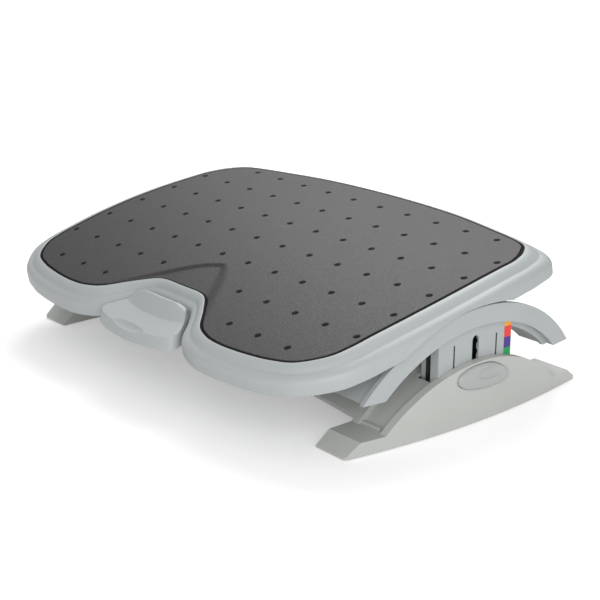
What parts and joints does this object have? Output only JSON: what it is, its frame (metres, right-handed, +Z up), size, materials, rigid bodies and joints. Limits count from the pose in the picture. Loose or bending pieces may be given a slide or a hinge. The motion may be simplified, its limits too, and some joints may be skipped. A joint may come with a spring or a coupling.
{
  "type": "footrest",
  "caption": "Desk footrest: a crowned platform with a perforated rubber mat, tilted by a foot pedal on an arch that slides up and down in a two-footed base.",
  "frame": {"origin": "on the floor, under the middle of the whole footprint; the middle of the two feet is 28.4 mm behind it", "axes": "+X across the platform towards the right foot, +Y towards the back edge, away from the pedal, +Z up"},
  "size_m": [0.56, 0.387, 0.1478],
  "materials": {
    "rim_grey": "cool light grey moulded plastic, fine satin texture",
    "base_grey": "light grey moulded plastic, satin",
    "button_grey": "light grey moulded plastic, smooth",
    "inner_grey": "grey moulded plastic",
    "inner_black": "black moulded plastic",
    "charcoal_rubber": "charcoal rubber with a fine grain",
    "black_rubber": "black rubber",
    "white_acetal": "off-white slippery plastic",
    "scale_label": "coloured bands: yellow, red, blue and green",
    "screw_steel": "zinc-plated steel",
    "spring_steel": "spring wire"
  },
  "bodies": {
    "base": {"base_frame": "base_grey", "right_base_cover": "inner_black", "left_base_cover": "inner_black", "front_right_rubber_foot": "black_rubber", "rear_right_rubber_foot": "black_rubber", "front_left_rubber_foot": "black_rubber", "rear_left_rubber_foot": "black_rubber", "base_screw_1": "screw_steel", "base_screw_2": "screw_steel", "base_screw_3": "screw_steel", "base_screw_4": "screw_steel", "right_button_spring": "spring_steel", "left_button_spring": "spring_steel"},
    "right_button": {"right_height_button": "button_grey", "right_latch_nose": "screw_steel"},
    "left_button": {"left_height_button": "button_grey", "left_latch_nose": "screw_steel"},
    "lift_frame": {"arch_frame": "rim_grey", "right_column": "rim_grey", "left_column": "rim_grey", "right_inner_leg": "inner_grey", "left_inner_leg": "inner_grey", "right_height_scale": "scale_label", "left_height_scale": "scale_label", "tilt_friction_strip": "black_rubber", "column_screw_1": "screw_steel", "column_screw_2": "screw_steel", "column_screw_3": "screw_steel", "column_screw_4": "screw_steel", "leg_screw_1": "screw_steel", "leg_screw_2": "screw_steel", "leg_screw_3": "screw_steel", "leg_screw_4": "screw_steel"},
    "platform": {"platform_shell": "rim_grey", "foot_mat": "charcoal_rubber", "right_keeper": "white_acetal", "left_keeper": "white_acetal", "front_right_glide_shoe": "white_acetal", "rear_right_glide_shoe": "white_acetal", "front_left_glide_shoe": "white_acetal", "rear_left_glide_shoe": "white_acetal", "platform_screw_1": "screw_steel", "platform_screw_2": "screw_steel", "platform_screw_3": "screw_steel", "platform_screw_4": "screw_steel", "platform_screw_5": "screw_steel", "platform_screw_6": "screw_steel", "platform_screw_7": "screw_steel", "platform_screw_8": "screw_steel", "pedal_pin": "screw_steel", "brake_pin": "screw_steel"},
    "pedal": {"release_pedal": "rim_grey", "pedal_spring": "spring_steel"},
    "brake": {"brake_arm": "inner_grey", "brake_shoe": "black_rubber"}
  },
  "joints": [
    {"name": "height_slide", "type": "slide", "parent": "base", "child": "lift_frame", "axis": [0, 0, 1], "range_m": [-0.0333, 0]},
    {"name": "platform_tilt", "type": "hinge", "parent": "lift_frame", "child": "platform", "pos_m": [0, 0.0284, -0.064], "axis": [1, 0, 0], "range_deg": [-25.36, 4.64]},
    {"name": "pedal_press", "type": "hinge", "parent": "platform", "child": "pedal", "pos_m": [0, -0.12436, 0.08212], "axis": [1, 0, 0], "range_deg": [0, 6], "stiffness_Nm_per_rad": 2, "springref_deg": -11.46},
    {"name": "brake_lift", "type": "hinge", "parent": "platform", "child": "brake", "pos_m": [0, -0.05269, 0.10162], "axis": [1, 0, 0], "range_deg": [-3.3, 0]},
    {"name": "right_button_press", "type": "slide", "parent": "base", "child": "right_button", "axis": [-1, 0, 0], "range_m": [0, 0.004], "stiffness_N_per_m": 600, "springref_m": -0.004, "deforming": ["right_button_spring"]},
    {"name": "left_button_press", "type": "slide", "parent": "base", "child": "left_button", "axis": [1, 0, 0], "range_m": [0, 0.004], "stiffness_N_per_m": 600, "springref_m": -0.004, "deforming": ["left_button_spring"]}
  ],
  "couplings": [
    {"joint": "brake_lift", "follows": "pedal_press", "ratio": -0.54}
  ]
}
